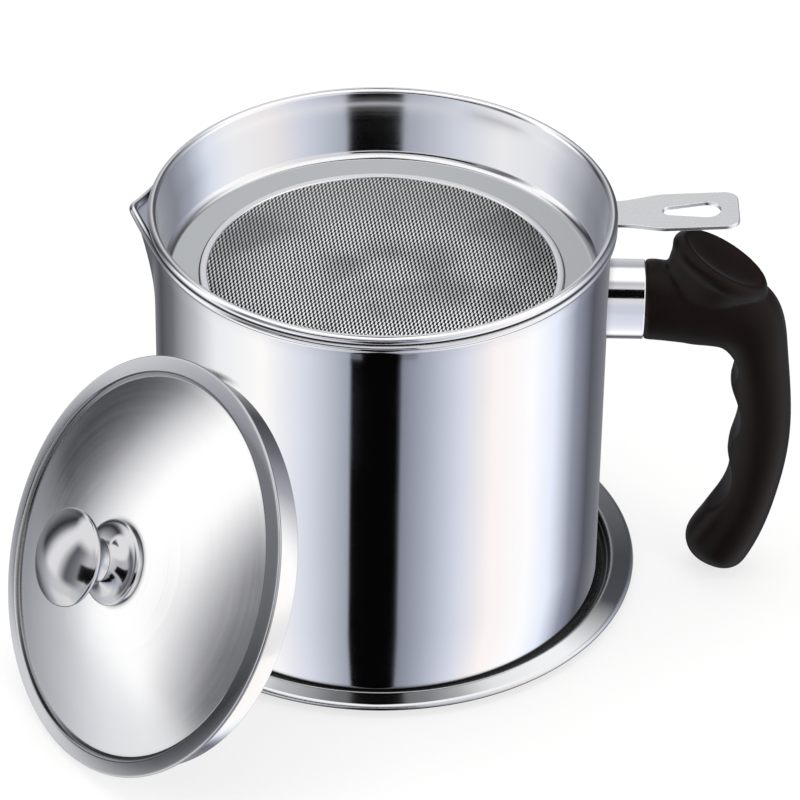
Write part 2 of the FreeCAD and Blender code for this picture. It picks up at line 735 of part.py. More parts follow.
save(drip_tray(), "drip_tray")
save(pot_shell(), "pot_shell")
save(handle_ferrule(), "handle_ferrule")
save(handle_bracket(), "handle_bracket")
save(handle_grip(), "handle_grip")
save(handle_screw(), "handle_screw")
save(handle_washer(), "handle_washer")
save(strainer_collar(), "strainer_collar")
save(mesh_retaining_ring(), "mesh_retaining_ring")
save(strainer_mesh(), "strainer_mesh")
save(strainer_tab(), "strainer_tab")
for build in (lid_shell, lid_skirt, knob_base, knob_cap, knob_washer, knob_screw):
    save(leaning(build()), build.__name__)
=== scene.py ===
# %% [markdown]
# # A grease strainer pot, dressed for its picture
# The real object is a polished steel pot with a pour spout, a loose strainer that hangs
# in its mouth, a domed lid with a mushroom knob, a moulded black handle and a drip tray.
# The solids of all seventeen pieces are loaded first and stay where they are. Thin metal
# shows every facet of a solid in its reflections, so the sheet pieces are drawn again
# here as finely divided surfaces of the same size, in the same place.

# %% Load the frame
import bmesh
import bpy
from itertools import accumulate
from math import acos, asin, atan2, cos, degrees, hypot, pi, radians, sin, sqrt, tan, tau
from mathutils import Matrix, Vector


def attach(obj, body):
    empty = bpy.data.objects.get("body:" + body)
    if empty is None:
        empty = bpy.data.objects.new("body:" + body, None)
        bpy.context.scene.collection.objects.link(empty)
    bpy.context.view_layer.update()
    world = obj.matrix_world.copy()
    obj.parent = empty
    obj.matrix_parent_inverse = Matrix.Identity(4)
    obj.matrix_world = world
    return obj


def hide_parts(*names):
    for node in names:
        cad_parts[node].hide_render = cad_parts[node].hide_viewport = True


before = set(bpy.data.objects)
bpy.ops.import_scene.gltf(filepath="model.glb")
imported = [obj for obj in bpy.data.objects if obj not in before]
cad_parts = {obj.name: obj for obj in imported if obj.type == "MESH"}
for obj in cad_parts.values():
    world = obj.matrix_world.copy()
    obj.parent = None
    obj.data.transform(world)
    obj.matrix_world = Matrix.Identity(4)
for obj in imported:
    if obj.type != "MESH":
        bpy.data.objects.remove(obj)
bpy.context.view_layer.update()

scene = bpy.context.scene
MM = 0.001

# %% [markdown]
# ## The camera
# A long lens from well above the rim, as for a catalogue. Its height, its distance and
# the small roll were worked out from the round rims, which look like ellipses from here.
# The lens could be given in millimetres, but a focal length in pixels says directly how
# large a piece becomes in the picture.

# %% Camera
PICTURE = 800  # pixels along each side
FOCAL_PIXELS = 4714.9 * 0.95  # 0.95 leaves room round the lid
SENSOR = 36
DISTANCE = 1.3062
ELEVATION, ROLL = radians(34.88), radians(0.97)
AIM_HEIGHT, ASIDE, BELOW = 60.8 * MM, 5.74 * MM, 2.71 * MM


def put(name, data):
    """Shows a mesh, curve, lamp or camera in the scene."""
    thing = bpy.data.objects.new(name, data)
    scene.collection.objects.link(thing)
    return thing


ahead = Vector((0, cos(ELEVATION), -sin(ELEVATION)))
right = Vector((1, 0, 0))
upward = right.cross(ahead)
aim = Vector((0, 0, AIM_HEIGHT)) + right * ASIDE - upward * BELOW
camera = put("camera", bpy.data.cameras.new("camera"))
heading = Matrix((right, upward, -ahead)).transposed() @ Matrix.Rotation(ROLL, 3, "Z")
camera.matrix_world = Matrix.Translation(aim - ahead * DISTANCE) @ heading.to_4x4()
camera.data.sensor_width = SENSOR
camera.data.lens = SENSOR * FOCAL_PIXELS / PICTURE
camera.data.clip_start, camera.data.clip_end = 0.05, 20
scene.camera = camera
scene.view_settings.view_transform = "Standard"
print("lens", round(camera.data.lens, 1), "mm at", [round(v, 3) for v in camera.location])

# %% [markdown]
# ## Sizes
# The same millimetres as in the solids. Heights are above the table, and radii are from
# the pot's axis. Several pieces share the pot's outside, and the line in the middle of
# its rolled rim, on which the strainer rests.

# %% Sizes shared by the pieces
POT_R = 65.0
RIM_Z, RIM_LINE_R = 120.2, 65.54
print("rim at", RIM_Z, "mm, its line at", RIM_LINE_R, "mm from the axis")

# %% [markdown]
# ## Outlines
# Nearly every sheet piece here is round, spun on a lathe or drawn in a press. So its
# outline is a list of radius and height, with the corners rounded as a press leaves
# them. A bevel modifier could round them too, but in the outline it costs four points.

# %% Curves of an outline
def arc(a, middle, b, steps=8):
    """Points on the circle through three points, from a to b."""
    (ax, ay), (mx, my), (bx, by) = a, middle, b
    d = 2 * (ax * (my - by) + mx * (by - ay) + bx * (ay - my))
    sa, sm, sb = ax * ax + ay * ay, mx * mx + my * my, bx * bx + by * by
    cx = (sa * (my - by) + sm * (by - ay) + sb * (ay - my)) / d
    cy = (sa * (bx - mx) + sm * (ax - bx) + sb * (mx - ax)) / d
    r = hypot(ax - cx, ay - cy)
    start, mid, end = (atan2(y - cy, x - cx) for x, y in (a, middle, b))
    sweep = (end - start) % tau
    if (mid - start) % tau > sweep:
        sweep -= tau
    turns = [start + sweep * k / steps for k in range(steps + 1)]
    return [(cx + r * cos(t), cy + r * sin(t)) for t in turns]


def circle_part(cx, cy, r, start, end, steps):
    """Points on a circle between two angles in degrees."""
    turns = [radians(start + (end - start) * k / steps) for k in range(steps + 1)]
    return [(cx + r * cos(t), cy + r * sin(t)) for t in turns]


print("points on a quarter turn:", len(circle_part(0, 0, 1, 0, 90, 8)))

# %% Rounded corners
LEAST_BEND = radians(12)  # a weaker bend than this stays a point
SIDE_SHARE = 0.45  # of a side, so that two roundings never meet


def rounded(points, radius, closed=False, steps=4):
    """The outline with each sharp corner rounded, as a press rounds it."""
    count = len(points)
    result = []
    for k, here in enumerate(points):
        if not closed and k in (0, count - 1):
            result.append(here)
            continue
        p, before, after = (Vector(v) for v in (here, points[k - 1], points[(k + 1) % count]))
        back, on = before - p, after - p
        if min(back.length, on.length) < 1e-6:
            continue
        bend = pi - back.angle(on)
        if bend < LEAST_BEND:
            result.append(here)
            continue
        reach = min(radius * tan(bend / 2), SIDE_SHARE * back.length, SIDE_SHARE * on.length)
        a, b = p + back.normalized() * reach, p + on.normalized() * reach
        for s in range(steps + 1):
            t = s / steps
            q = a * (1 - t) ** 2 + p * (2 * t * (1 - t)) + b * t ** 2
            result.append((q.x, q.y))
    return result


print("a rounded corner has", len(rounded([(0, 0), (1, 0), (1, 1)], 0.5)) - 2, "points")

# %% [markdown]
# ## From rows to a piece
# A surface is made of rows of corners, and each row closes into a ring. The faces run
# with the metal, and so do the reflections. Blender's screw modifier turns an outline as
# well, but the pot with its spout isn't round, and rows can hold both.

# %% Faces between rows
def ring_faces(rows, closed=False):
    """Faces between neighbouring rows of corner numbers. A row of one corner is a tip."""
    faces = []
    for low, high in zip(rows, rows[1:] + rows[:1] if closed else rows[1:]):
        for k in range(len(low)):
            n = (k + 1) % len(low)
            face = [low[k], low[n], high[n], high[k]]
            faces.append([v for i, v in enumerate(face) if v not in face[:i]])
    return faces


def numbered(rows):
    """All corners in one list, and their numbers row by row."""
    numbers, first = [], 0
    for row in rows:
        numbers.append(list(range(first, first + len(row))))
        first += len(row)
    return [corner for row in rows for corner in row], numbers


print("faces between two rows of four:", len(ring_faces([[0, 1, 2, 3], [4, 5, 6, 7]])))

# %% A piece of the model
def mesh_object(name, vertices, faces, body, *nodes, place=Matrix.Identity(4)):
    """A smooth-shaded piece that rides on its body and stands for its solids."""
    mesh = bpy.data.meshes.new(name)
    mesh.from_pydata([place @ Vector(v) for v in vertices], [], faces)
    mesh.validate()
    turned_out = bmesh.new()
    turned_out.from_mesh(mesh)
    bmesh.ops.recalc_face_normals(turned_out, faces=turned_out.faces)
    turned_out.to_mesh(mesh)
    turned_out.free()
    mesh.shade_smooth()
    piece = put(name, mesh)
    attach(piece, body)
    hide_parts(*nodes)
    print(name, "faces", len(mesh.polygons), "rides on", body)
    return piece


def turned(name, outline, body, *nodes, closed=False, place=Matrix.Identity(4), around=256):
    """Turns an outline of (radius, height) in millimetres about the axis."""
    vertices, rows = [], []
    for r, z in outline:
        if r < 1e-6:
            rows.append([len(vertices)] * around)
            vertices.append((0, 0, z * MM))
            continue
        rows.append(list(range(len(vertices), len(vertices) + around)))
        for k in range(around):
            t = tau * k / around
            vertices.append((r * MM * cos(t), r * MM * sin(t), z * MM))
    return mesh_object(name, vertices, ring_faces(rows, closed), body, *nodes, place=place)


print("tools for pieces ready")

# %% [markdown]
# ## The drip tray
# A shallow pressed dish: a flat floor, a wall like a small S, a flat flange and a rolled
# edge. A lathe outline holds all of it. Smooth shading bends a flat face towards the
# curve beside it, so the flange has a ring of corners close to each of its ends.

# %% Drip tray
TRAY_FLOOR_Z, TRAY_FLANGE_Z = 0.8, 4.0

wall_low = arc((66.6, TRAY_FLOOR_Z), (67.95, 1.412), (68.4, 2.4))
wall_high = arc((68.4, 2.4), (68.85, 3.388), (70.2, TRAY_FLANGE_Z))
flange = [(70.5, TRAY_FLANGE_Z), (74.9, TRAY_FLANGE_Z)]
tray_roll = circle_part(75.18, 3.0, 1.0, 90, -190, 18)
tray_under = rounded([tray_roll[-1], (71.0, 3.2), (67.4, 0.0), (40.0, 0.0), (0.0, 0.0)], 1.5)
tray_outline = [(0.0, TRAY_FLOOR_Z), (40.0, TRAY_FLOOR_Z)] + wall_low + wall_high[1:]
tray_outline += flange + tray_roll + tray_under[1:]
drip_tray = turned("drip_tray_sheet", tray_outline, "tray", "drip_tray", around=320)

# %% [markdown]
# ## The pot and its spout
# The pot is drawn sheet with a rolled rim, and the spout is pinched out of the wall. A
# boolean would leave a seam there, so the wall is a grid: each column is a direction
# seen from the axis, and each row a height. Where the wedge of the spout reaches
# further out than the round wall, the wall follows it. The roll is swept round the same
# columns, so it runs up and over the tip of the spout without a joint.

# %% Plan of the pot at a height
POT_WALL, POT_FLOOR_Z, POT_FLOOR_TOP, CORNER = 0.6, 0.8, 1.6, 1.4
SPOUT_REACH, SPOUT_NOSE, SPOUT_DEPTH = 70.8, 4.2, 30.0
DRAW_BACK, DRAW_EASE = 8.02, 2.16  # the spout's slope, and how it hollows
CREASE, CREASE_RUN = 0.8, 1.5  # softness where the wedge leaves the wall
WALL_IN = RIM_LINE_R - POT_R
SPOUT_TURN = acos((RIM_LINE_R - SPOUT_NOSE) / (SPOUT_REACH - SPOUT_NOSE))


def inset(z):
    """How far the spout has drawn back at a height, in millimetres."""
    t = min(1.0, max(0.0, (RIM_Z - z) / SPOUT_DEPTH))
    return DRAW_BACK * t - DRAW_EASE * t * t


def wall_reach(a, z):
    """Radius of the outside of the wall, in a direction a from -X."""
    a = abs(a)
    drawn = inset(z)
    nose_r = SPOUT_NOSE - WALL_IN
    nose_x = SPOUT_REACH - SPOUT_NOSE - drawn
    nose_end = atan2(nose_r * sin(SPOUT_TURN), nose_x + nose_r * cos(SPOUT_TURN))
    side = POT_R - drawn * cos(SPOUT_TURN)
    if a < nose_end:
        wedge = nose_x * cos(a) + sqrt(nose_r ** 2 - (nose_x * sin(a)) ** 2)
    else:
        wedge = side / cos(min(a, SPOUT_TURN) - SPOUT_TURN)
    soft = CREASE * min(1.0, drawn / CREASE_RUN)
    return 0.5 * (POT_R + wedge + hypot(POT_R - wedge, soft))


print("the spout reaches", round(wall_reach(0.0, RIM_Z), 1), "mm from the axis")

# %% Columns of the grid
SPOUT_STEPS = [0.25] * 20 + [0.5] * 46 + [0.9] * 10  # degrees, finest at the tip
PLAIN_COLUMNS = 150

half_turn = list(accumulate([0.0] + SPOUT_STEPS))
spout_end = half_turn[-1]
half_turn += [spout_end + (180 - spout_end) * k / PLAIN_COLUMNS for k in range(1, PLAIN_COLUMNS)]
columns = [radians(v) for v in half_turn] + [pi]
columns += [-a for a in reversed(columns[1:-1])]
print("columns round the pot", len(columns))

# %% Height of the rim, and one row of the grid
SPOUT_RISE, SPOUT_RISE_RUN = 2.0, 8.8


def spout_lift(x):
    """Height of the rim over its round part, x millimetres out along the spout."""
    bow = (SPOUT_RISE_RUN ** 2 + SPOUT_RISE ** 2) / (2 * SPOUT_RISE)
    out = max(0.0, x - (SPOUT_REACH - SPOUT_RISE_RUN))
    return bow - sqrt(bow ** 2 - out ** 2)


def plan(row_z, aside=0.0):
    """One row of the grid: points at given heights, moved along the wall's own normal."""
    flat = []
    for a, z in zip(columns, row_z):
        reach = wall_reach(a, z)
        flat.append(Vector((-reach * cos(a), reach * sin(a))))
    result = []
    for k, p in enumerate(flat):
        along = (flat[(k + 1) % len(flat)] - flat[k - 1]).normalized()
        outward = Vector((-along.y, along.x))
        if outward.dot(p) < 0:
            outward = -outward
        result.append(p + outward * aside)
    return result


rim_height = [RIM_Z] * len(columns)
crest = [RIM_Z + spout_lift(-p.x) for p in plan(rim_height, WALL_IN)]
print("the tip of the spout stands", round(max(crest) - RIM_Z, 2), "mm over the rim")

# %% Rows of the floor, the wall and the roll
RIM_TUBE, ROLL_STEPS = 1.2, 18
SPOUT_ROWS = 20
outer_top = sqrt(RIM_TUBE ** 2 - WALL_IN ** 2)
inner_in = WALL_IN + POT_WALL
inner_top = sqrt(RIM_TUBE ** 2 - inner_in ** 2)


def round_rows(line):
    """Rows that are the same all round, for the floor and its corner."""
    return [[(-r * cos(a), r * sin(a), z) for a in columns] for r, z in line]


def wall_rows(aside, drop):
    """Rows from the corner up to where the wall meets the roll, drop below its crest."""
    base = RIM_Z - SPOUT_DEPTH
    heights = [[z] * len(columns) for z in (POT_FLOOR_Z + CORNER, 20, 40, 60, 75, 85)]
    for k in range(SPOUT_ROWS + 1):
        heights.append([base + k / SPOUT_ROWS * (c - drop - base) for c in crest])
    return [[(p.x, p.y, z) for p, z in zip(plan(row, aside), row)] for row in heights]


def roll_rows():
    """Rows round the rolled rim, from the outside over the top to the inside."""
    start = degrees(atan2(-outer_top, -WALL_IN))
    end = degrees(atan2(-inner_top, -inner_in)) + 360
    rows = []
    for k in range(1, ROLL_STEPS):
        t = radians(start + (end - start) * k / ROLL_STEPS)
        across = plan(rim_height, WALL_IN + RIM_TUBE * cos(t))
        rows.append([(p.x, p.y, c + RIM_TUBE * sin(t)) for p, c in zip(across, crest)])
    return rows


print("rows round the roll", len(roll_rows()))

# %% Pot
FLOOR_RINGS = (30, 55)

corner_in = CORNER - POT_WALL
corner_out = circle_part(POT_R - CORNER, POT_FLOOR_Z + CORNER, CORNER, -90, 0, 8)
corner_back = circle_part(POT_R - CORNER, POT_FLOOR_TOP + corner_in, corner_in, 0, -90, 8)
pot_rows = round_rows([(r, POT_FLOOR_Z) for r in FLOOR_RINGS] + corner_out[:-1])
pot_rows += wall_rows(0.0, outer_top) + roll_rows() + wall_rows(-POT_WALL, inner_top)[::-1]
pot_rows += round_rows(corner_back[1:] + [(r, POT_FLOOR_TOP) for r in FLOOR_RINGS[::-1]])

pot_corners, pot_numbers = numbered(pot_rows)
pot_faces = ring_faces(pot_numbers)
for edge, z in ((pot_numbers[0], POT_FLOOR_Z), (pot_numbers[-1], POT_FLOOR_TOP)):
    pot_faces += ring_faces([edge, [len(pot_corners)] * len(columns)])
    pot_corners.append((0, 0, z))
pot_corners = [(x * MM, y * MM, z * MM) for x, y, z in pot_corners]
pot = mesh_object("pot_sheet", pot_corners, pot_faces, "pot", "pot_shell")

# %% [markdown]
# ## The strainer
# A spun collar with a rolled rim, a wall that leans in slightly, a rounded step and a
# flat ledge. A folded ring clamps the woven disc to the hole in the ledge. All three are
# round, so they are turned. The wires of the disc are far too many to model, and are
# left to its material.

# %% Collar
STRAINER_Z, STRAINER_TUBE = 122.9, 1.3
LEDGE_Z, COLLAR_SHEET = 102.3, 0.5
RING_R = 52.2

ledge = [(RING_R, LEDGE_Z - COLLAR_SHEET), (RING_R, LEDGE_Z)]
ledge += [(RING_R + 0.4, LEDGE_Z), (59.9, LEDGE_Z)]  # they keep its shading flat
step_in = arc((60.35, LEDGE_Z), (61.98, LEDGE_Z + 0.67), (62.65, LEDGE_Z + 2.3))
step_out = arc((63.15, LEDGE_Z + 2.3), (62.33, LEDGE_Z + 0.32), (60.35, LEDGE_Z - COLLAR_SHEET))
collar_roll = circle_part(RIM_LINE_R, STRAINER_Z, STRAINER_TUBE, 191.1, -137.3, 22)
collar_outline = ledge + step_in + [(63.1, 112.5), (63.5, 120.0)] + collar_roll
collar_outline += [(64.02, 119.9), (63.6, 112.5)] + step_out
collar = turned("strainer_spun_collar", collar_outline, "strainer", "strainer_collar",
                closed=True, around=320)

# %% Ring and woven disc
RING_LIP_R, RING_SHEET = 50.1, 0.5
RING_LOW, RING_HIGH = LEDGE_Z - 1.1, LEDGE_Z + 0.5
DISC_R, DISC_THICK = RING_R - 0.52, 0.6

fold_r, fold_low, fold_high = RING_R - RING_SHEET, RING_LOW + RING_SHEET, RING_HIGH - RING_SHEET
ring_outline = rounded([
    (RING_LIP_R, RING_LOW), (RING_R, RING_LOW), (RING_R, RING_HIGH), (RING_LIP_R, RING_HIGH),
    (RING_LIP_R, fold_high), (fold_r, fold_high), (fold_r, fold_low), (RING_LIP_R, fold_low),
], 0.35, closed=True)
ring = turned("mesh_ring_folded", ring_outline, "strainer", "mesh_retaining_ring",
              closed=True, around=320)

disc_top = [(DISC_R, LEDGE_Z), (25, LEDGE_Z), (0, LEDGE_Z)]
disc_outline = [(r, z - DISC_THICK) for r, z in reversed(disc_top)] + disc_top
weave = turned("woven_disc", disc_outline, "strainer", "strainer_mesh", around=192)

# %% [markdown]
# ## The lifting tab
# A blanked strip, welded to the rim, wider at its end, with a drop-shaped slot. A filled
# curve with a bevel gives the plate, its slot and the soft edge that tumbling leaves. A
# boolean would cut the slot too, but would leave its edge sharp.

# %% Outline of the tab
TAB_START, TAB_FLARE_END = 66.4, 81.0
TAB_NECK, TAB_HALF_WIDE = 6.2, 9.0
FLARE_STEPS = 14


def tab_half():
    """Half of the plate's outline: a smooth flare, then the round corner at the end."""
    side = []
    for k in range(FLARE_STEPS + 1):
        t = k / FLARE_STEPS
        ease = t * t * (3 - 2 * t)
        side.append((TAB_START + (TAB_FLARE_END - TAB_START) * t,
                     TAB_NECK + (TAB_HALF_WIDE - TAB_NECK) * ease))
    return side + circle_part(97.04, 5.0, 4.0, 90, 0, 10)


def tab_slot(x0=81.64, r0=2.2, x1=91.94, r1=3.9):
    """A drop: a small circle and a large one, joined by the lines that touch both."""
    flank = degrees(asin((r1 - r0) / (x1 - x0)))
    wide = circle_part(x1, 0, r1, 90 + flank, -90 - flank, 24)
    return wide + circle_part(x0, 0, r0, -90 - flank, flank - 270, 16)


print("the tab ends", round(tab_half()[-1][0], 1), "mm from the axis")

# %% Plate of the tab
TAB_TILT = radians(3.5)
TAB_HALF_THICK, TAB_EDGE = 0.4 * MM, 0.2 * MM

curve = bpy.data.curves.new("tab", "CURVE")
curve.dimensions = "2D"
curve.fill_mode = "BOTH"
curve.extrude = TAB_HALF_THICK
curve.bevel_depth, curve.offset, curve.bevel_resolution = TAB_EDGE, -TAB_EDGE, 2
half = tab_half()
for outline in (half + [(x, -y) for x, y in reversed(half)], tab_slot()):
    spline = curve.splines.new("POLY")
    spline.points.add(len(outline) - 1)
    for point, (x, y) in zip(spline.points, outline):
        point.co = ((x - RIM_LINE_R) * MM, y * MM, 0, 1)
    spline.use_cyclic_u = True

curve_holder = put("tab_curve", curve)
view_now = bpy.context.evaluated_depsgraph_get()
tab_mesh = bpy.data.meshes.new_from_object(curve_holder.evaluated_get(view_now))
bpy.data.objects.remove(curve_holder)
weld_point = Matrix.Translation((RIM_LINE_R * MM, 0, STRAINER_Z * MM))
tab_mesh.transform(weld_point @ Matrix.Rotation(-TAB_TILT, 4, "Y"))
tab_mesh.shade_smooth()
tab_mesh.set_sharp_from_angle(angle=radians(35))
tab = put("lifting_tab_plate", tab_mesh)
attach(tab, "strainer")
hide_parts("strainer_tab")
print("tab faces", len(tab_mesh.polygons))

# %% [markdown]
# ## The lid
# The lid stands on its edge and leans on the pot. Its outline is the same as if it lay
# flat, and one matrix puts it there: the slope, the turn and the point where the skirt
# meets the wall are the values that placed the solids. Turning the finished object would
# do as well, but then its material would have to follow a rotated axis.

# %% Where the lid leans
SLOPE, TURN, CONTACT = radians(62), radians(34), radians(18)
LEAN_GAP = 0.3
SKIRT_R, SKIRT_DEPTH = 55.6, 11.0

facing = Vector((-cos(TURN), -sin(TURN), 0))
sideways = Vector((sin(TURN), -cos(TURN), 0))
lid_axis = facing * sin(SLOPE) + Vector((0, 0, cos(SLOPE)))
uphill = Vector((0, 0, sin(SLOPE))) - facing * cos(SLOPE)
touch = facing * cos(CONTACT) + sideways * (sin(CONTACT) * cos(SLOPE))
lid_centre = touch.normalized() * (POT_R + LEAN_GAP)
lid_centre += facing * (SKIRT_R * cos(CONTACT) * cos(SLOPE))
lid_centre += sideways * (SKIRT_R * sin(CONTACT))
lid_centre += facing * (SKIRT_DEPTH * sin(SLOPE))
lid_centre.z = SKIRT_R * sin(SLOPE) + SKIRT_DEPTH * cos(SLOPE)
lid_place = Matrix((sideways, uphill, lid_axis)).transposed().to_4x4()
lid_place.translation = lid_centre * MM
print("lid centre", [round(v, 1) for v in lid_centre])

# %% Pressed lid and its skirt
DOME_R, DOME_RISE = 53.1, 7.4
LID_STEP_R, LID_STEP = 54.4, 1.8
LID_R, LID_SHEET, LID_CURL = 59.0, 0.6, 0.6


def dome(r, edge_z, top_z, steps=24):
    """Outline of a spherical dome, from its top to its edge."""
    rise = top_z - edge_z
    ball = (r * r + rise * rise) / (2 * rise)
    widest = asin(r / ball)
    turns = [widest * k / steps for k in range(steps + 1)]
    return [(ball * sin(t), top_z - ball * (1 - cos(t))) for t in turns]


crown = dome(DOME_R, -LID_STEP, DOME_RISE)
crown_under = [(r * 0.997, z - LID_SHEET) for r, z in crown]
lid_edge = [(58.2, -1.018)] + circle_part(LID_R - LID_CURL, -1.693, LID_CURL, 75, -170, 16)
gutter = rounded(crown[-2:] + [(LID_STEP_R, -LID_STEP), (LID_STEP_R, 0), lid_edge[0]], 0.5)
gutter_under = rounded([
    lid_edge[-1], (55.0, -0.6), (55.0, -2.4), (52.9, -2.4), crown_under[-2]], 0.4)
lid_outline = crown[:-1] + gutter[1:-1] + lid_edge + gutter_under[1:-1] + crown_under[-2::-1]
lid = turned("lid_pressed_sheet", lid_outline, "lid", "lid_shell", place=lid_place, around=320)

skirt_inside = SKIRT_R - LID_SHEET
skirt_outline = rounded([
    (skirt_inside, -LID_SHEET), (SKIRT_R, -LID_SHEET),
    (SKIRT_R, -SKIRT_DEPTH), (skirt_inside, -SKIRT_DEPTH),
], 0.25, closed=True)
skirt = turned("lid_rolled_skirt", skirt_outline, "lid", "lid_skirt",
               closed=True, place=lid_place, around=320)

# %% [markdown]
# ## The knob
# A mushroom cap on a flared foot, both turned from bar. The screw runs up through the
# foot, so the foot is a ring round it and the cap is closed. All heights start from the
# top of the dome.

# %% Foot and cap of the knob
foot = DOME_RISE
base_outline = rounded([
    (2.2, foot - 0.01), (11.9, foot - 0.45), (12.1, foot + 1.5), (11.6, foot + 2.0),
], 0.4)
base_outline += arc((11.6, foot + 2.0), (8.2, foot + 3.7), (6.3, foot + 7.4), 12)[1:]
base_outline += [(2.2, foot + 7.4)]
base = turned("knob_flared_foot", base_outline, "lid", "knob_base",
              closed=True, place=lid_place, around=128)

cap_outline = dome(13.05, foot + 17.8, foot + 22.4, 14)
cap_outline += arc((13.05, foot + 17.8), (13.75, foot + 16.8), (12.75, foot + 15.6))[1:]
cap_outline += arc((12.75, foot + 15.6), (8.6, foot + 12.85), (6.9, foot + 8.9), 12)[1:]
cap_outline += rounded([(6.9, foot + 8.9), (6.9, foot + 7.4), (0, foot + 7.4)], 0.3)[1:]
cap = turned("knob_mushroom_cap", cap_outline, "lid", "knob_cap", place=lid_place, around=128)

# %% [markdown]
# ## The sleeve of the handle
# A polished oval sleeve hides the bracket between the pot and the grip. It is a drawn
# tube, cut to the curve of the wall. The oval is a little squarer than an ellipse, so
# its rows come from a formula, and the first and the last of them end on the pot.

# %% Sleeve
OVAL_POWER = 2.25  # 2 would be an ellipse
HUB_Z, SLEEVE_END = 94.3, 75.2
HALF_HIGH, HALF_WIDE = 12.0, 9.0
SLEEVE_COLUMNS = 160


def oval(t, thin):
    """Side and height of a point on the oval, which is thinner all round by thin."""
    c, s = cos(t), sin(t)
    reach = (abs(c) ** OVAL_POWER + abs(s) ** OVAL_POWER) ** (-1 / OVAL_POWER)
    return (HALF_WIDE - thin) * reach * s, HUB_Z + (HALF_HIGH - thin) * reach * c


sleeve_rows = []
for thin, end in ((0.0, None), (0.0, SLEEVE_END - 0.25), (0.25, SLEEVE_END),
                  (1.0, SLEEVE_END), (1.0, None)):
    row = []
    for k in range(SLEEVE_COLUMNS):
        y, z = oval(tau * k / SLEEVE_COLUMNS, thin)
        x = end or sqrt(POT_R ** 2 - y * y)  # without an end it lies on the pot
        row.append((x * MM, y * MM, z * MM))
    sleeve_rows.append(row)
sleeve_corners, sleeve_numbers = numbered(sleeve_rows)
ferrule = mesh_object("ferrule_sleeve", sleeve_corners, ring_faces(sleeve_numbers, closed=True),
                      "pot", "handle_ferrule")
ferrule.data.set_sharp_from_angle(angle=radians(40))

# %% [markdown]
# ## The grip
# The grip is moulded round the bracket. Its solid has the right form, but its thumb rest
# and finger grooves meet in sharp lines, and a mould has none. So the grip is remeshed
# into small even quads and relaxed, which rounds each meeting line as a mould maker
# would. A plug first fills the undercut below the thumb rest.

# %% Plug below the thumb rest
PAD_X, PAD_Z, PAD_TILT = 96.6, 106.3, radians(31)
PLUG_RINGS = ((-0.3, 15.4, 11.6), (-11.0, 12.0, 9.0))  # depth, half length, half width
PLUG_COLUMNS = 64

pad_along = Vector((cos(PAD_TILT), 0, -sin(PAD_TILT)))
pad_out = Vector((sin(PAD_TILT), 0, cos(PAD_TILT)))
plug_rows = []
for depth, long, wide in PLUG_RINGS:
    middle = Vector((PAD_X, 0, PAD_Z)) + pad_out * depth
    row = []
    for k in range(PLUG_COLUMNS):
        t = tau * k / PLUG_COLUMNS
        across = Vector((0, wide * sin(t), 0))
        row.append((middle + pad_along * (long * cos(t)) + across) * MM)
    plug_rows.append(row)
plug_corners, (top_ring, low_ring) = numbered(plug_rows)
plug = bpy.data.meshes.new("plug")
plug.from_pydata(plug_corners, [], ring_faces([top_ring, low_ring]) + [top_ring[::-1], low_ring])
print("plug faces", len(plug.polygons))

# %% Moulded grip
QUAD, RELAX_TURNS = 0.5 * MM, 26

both = bmesh.new()
both.from_mesh(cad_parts["handle_grip"].data)
both.from_mesh(plug)
bmesh.ops.recalc_face_normals(both, faces=both.faces)
joined = bpy.data.meshes.new("grip_joined")
both.to_mesh(joined)
both.free()

grip = put("grip_moulding", joined)
remesh = grip.modifiers.new("even quads", "REMESH")
remesh.mode = "VOXEL"
remesh.voxel_size = QUAD
relax = grip.modifiers.new("mould radii", "SMOOTH")
relax.factor, relax.iterations = 0.5, RELAX_TURNS
view_now = bpy.context.evaluated_depsgraph_get()
moulded = bpy.data.meshes.new_from_object(grip.evaluated_get(view_now))
grip.modifiers.clear()
grip.data = moulded
grip.data.shade_smooth()
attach(grip, "pot")
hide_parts("handle_grip")
print("grip faces", len(moulded.polygons))

# %% [markdown]
# ## Materials
# One helper adds a node with its settings and links. Colours are written as sRGB hex,
# as a paint chart gives them, and turned to linear light once. The Mix node has sockets
# for numbers, vectors and colours under the same names, so its colours go by number.

# %% Material helpers
MIX_A, MIX_B = 6, 7


def linear(colour):
    """An sRGB hex colour in linear light, with alpha."""
    parts = [int(colour[k:k + 2], 16) / 255 for k in (1, 3, 5)]
    return [v / 12.92 if v <= 0.04045 else ((v + 0.055) / 1.055) ** 2.4 for v in parts] + [1.0]


def connect(tree, node, links):
    """Sets or links inputs. A node given as a value stands for its first output in use."""
    for name, value in links.items():
        if isinstance(value, bpy.types.Node):
            value = next(output for output in value.outputs if output.enabled)
        if isinstance(value, bpy.types.NodeSocket):
            tree.links.new(value, node.inputs[name])
        else:
            node.inputs[name].default_value = value


def add(tree, kind, links=None, **settings):
    """Adds a node with its settings and links. "Math" makes a ShaderNodeMath."""
    made = tree.nodes.new("ShaderNode" + kind)
    for name, value in settings.items():
        setattr(made, name, value)
    connect(tree, made, links or {})
    return made


def start_material(name):
    """A new material, its node tree and its shader."""
    material = bpy.data.materials.new(name)
    material.use_nodes = True
    return material, material.node_tree, material.node_tree.nodes["Principled BSDF"]


def paint(material, *objects):
    """Gives the objects this material alone."""
    for thing in objects:
        thing.data.materials.clear()
        thing.data.materials.append(material)


print("mid grey #808080 is", round(linear("#808080")[0], 3), "in linear light")

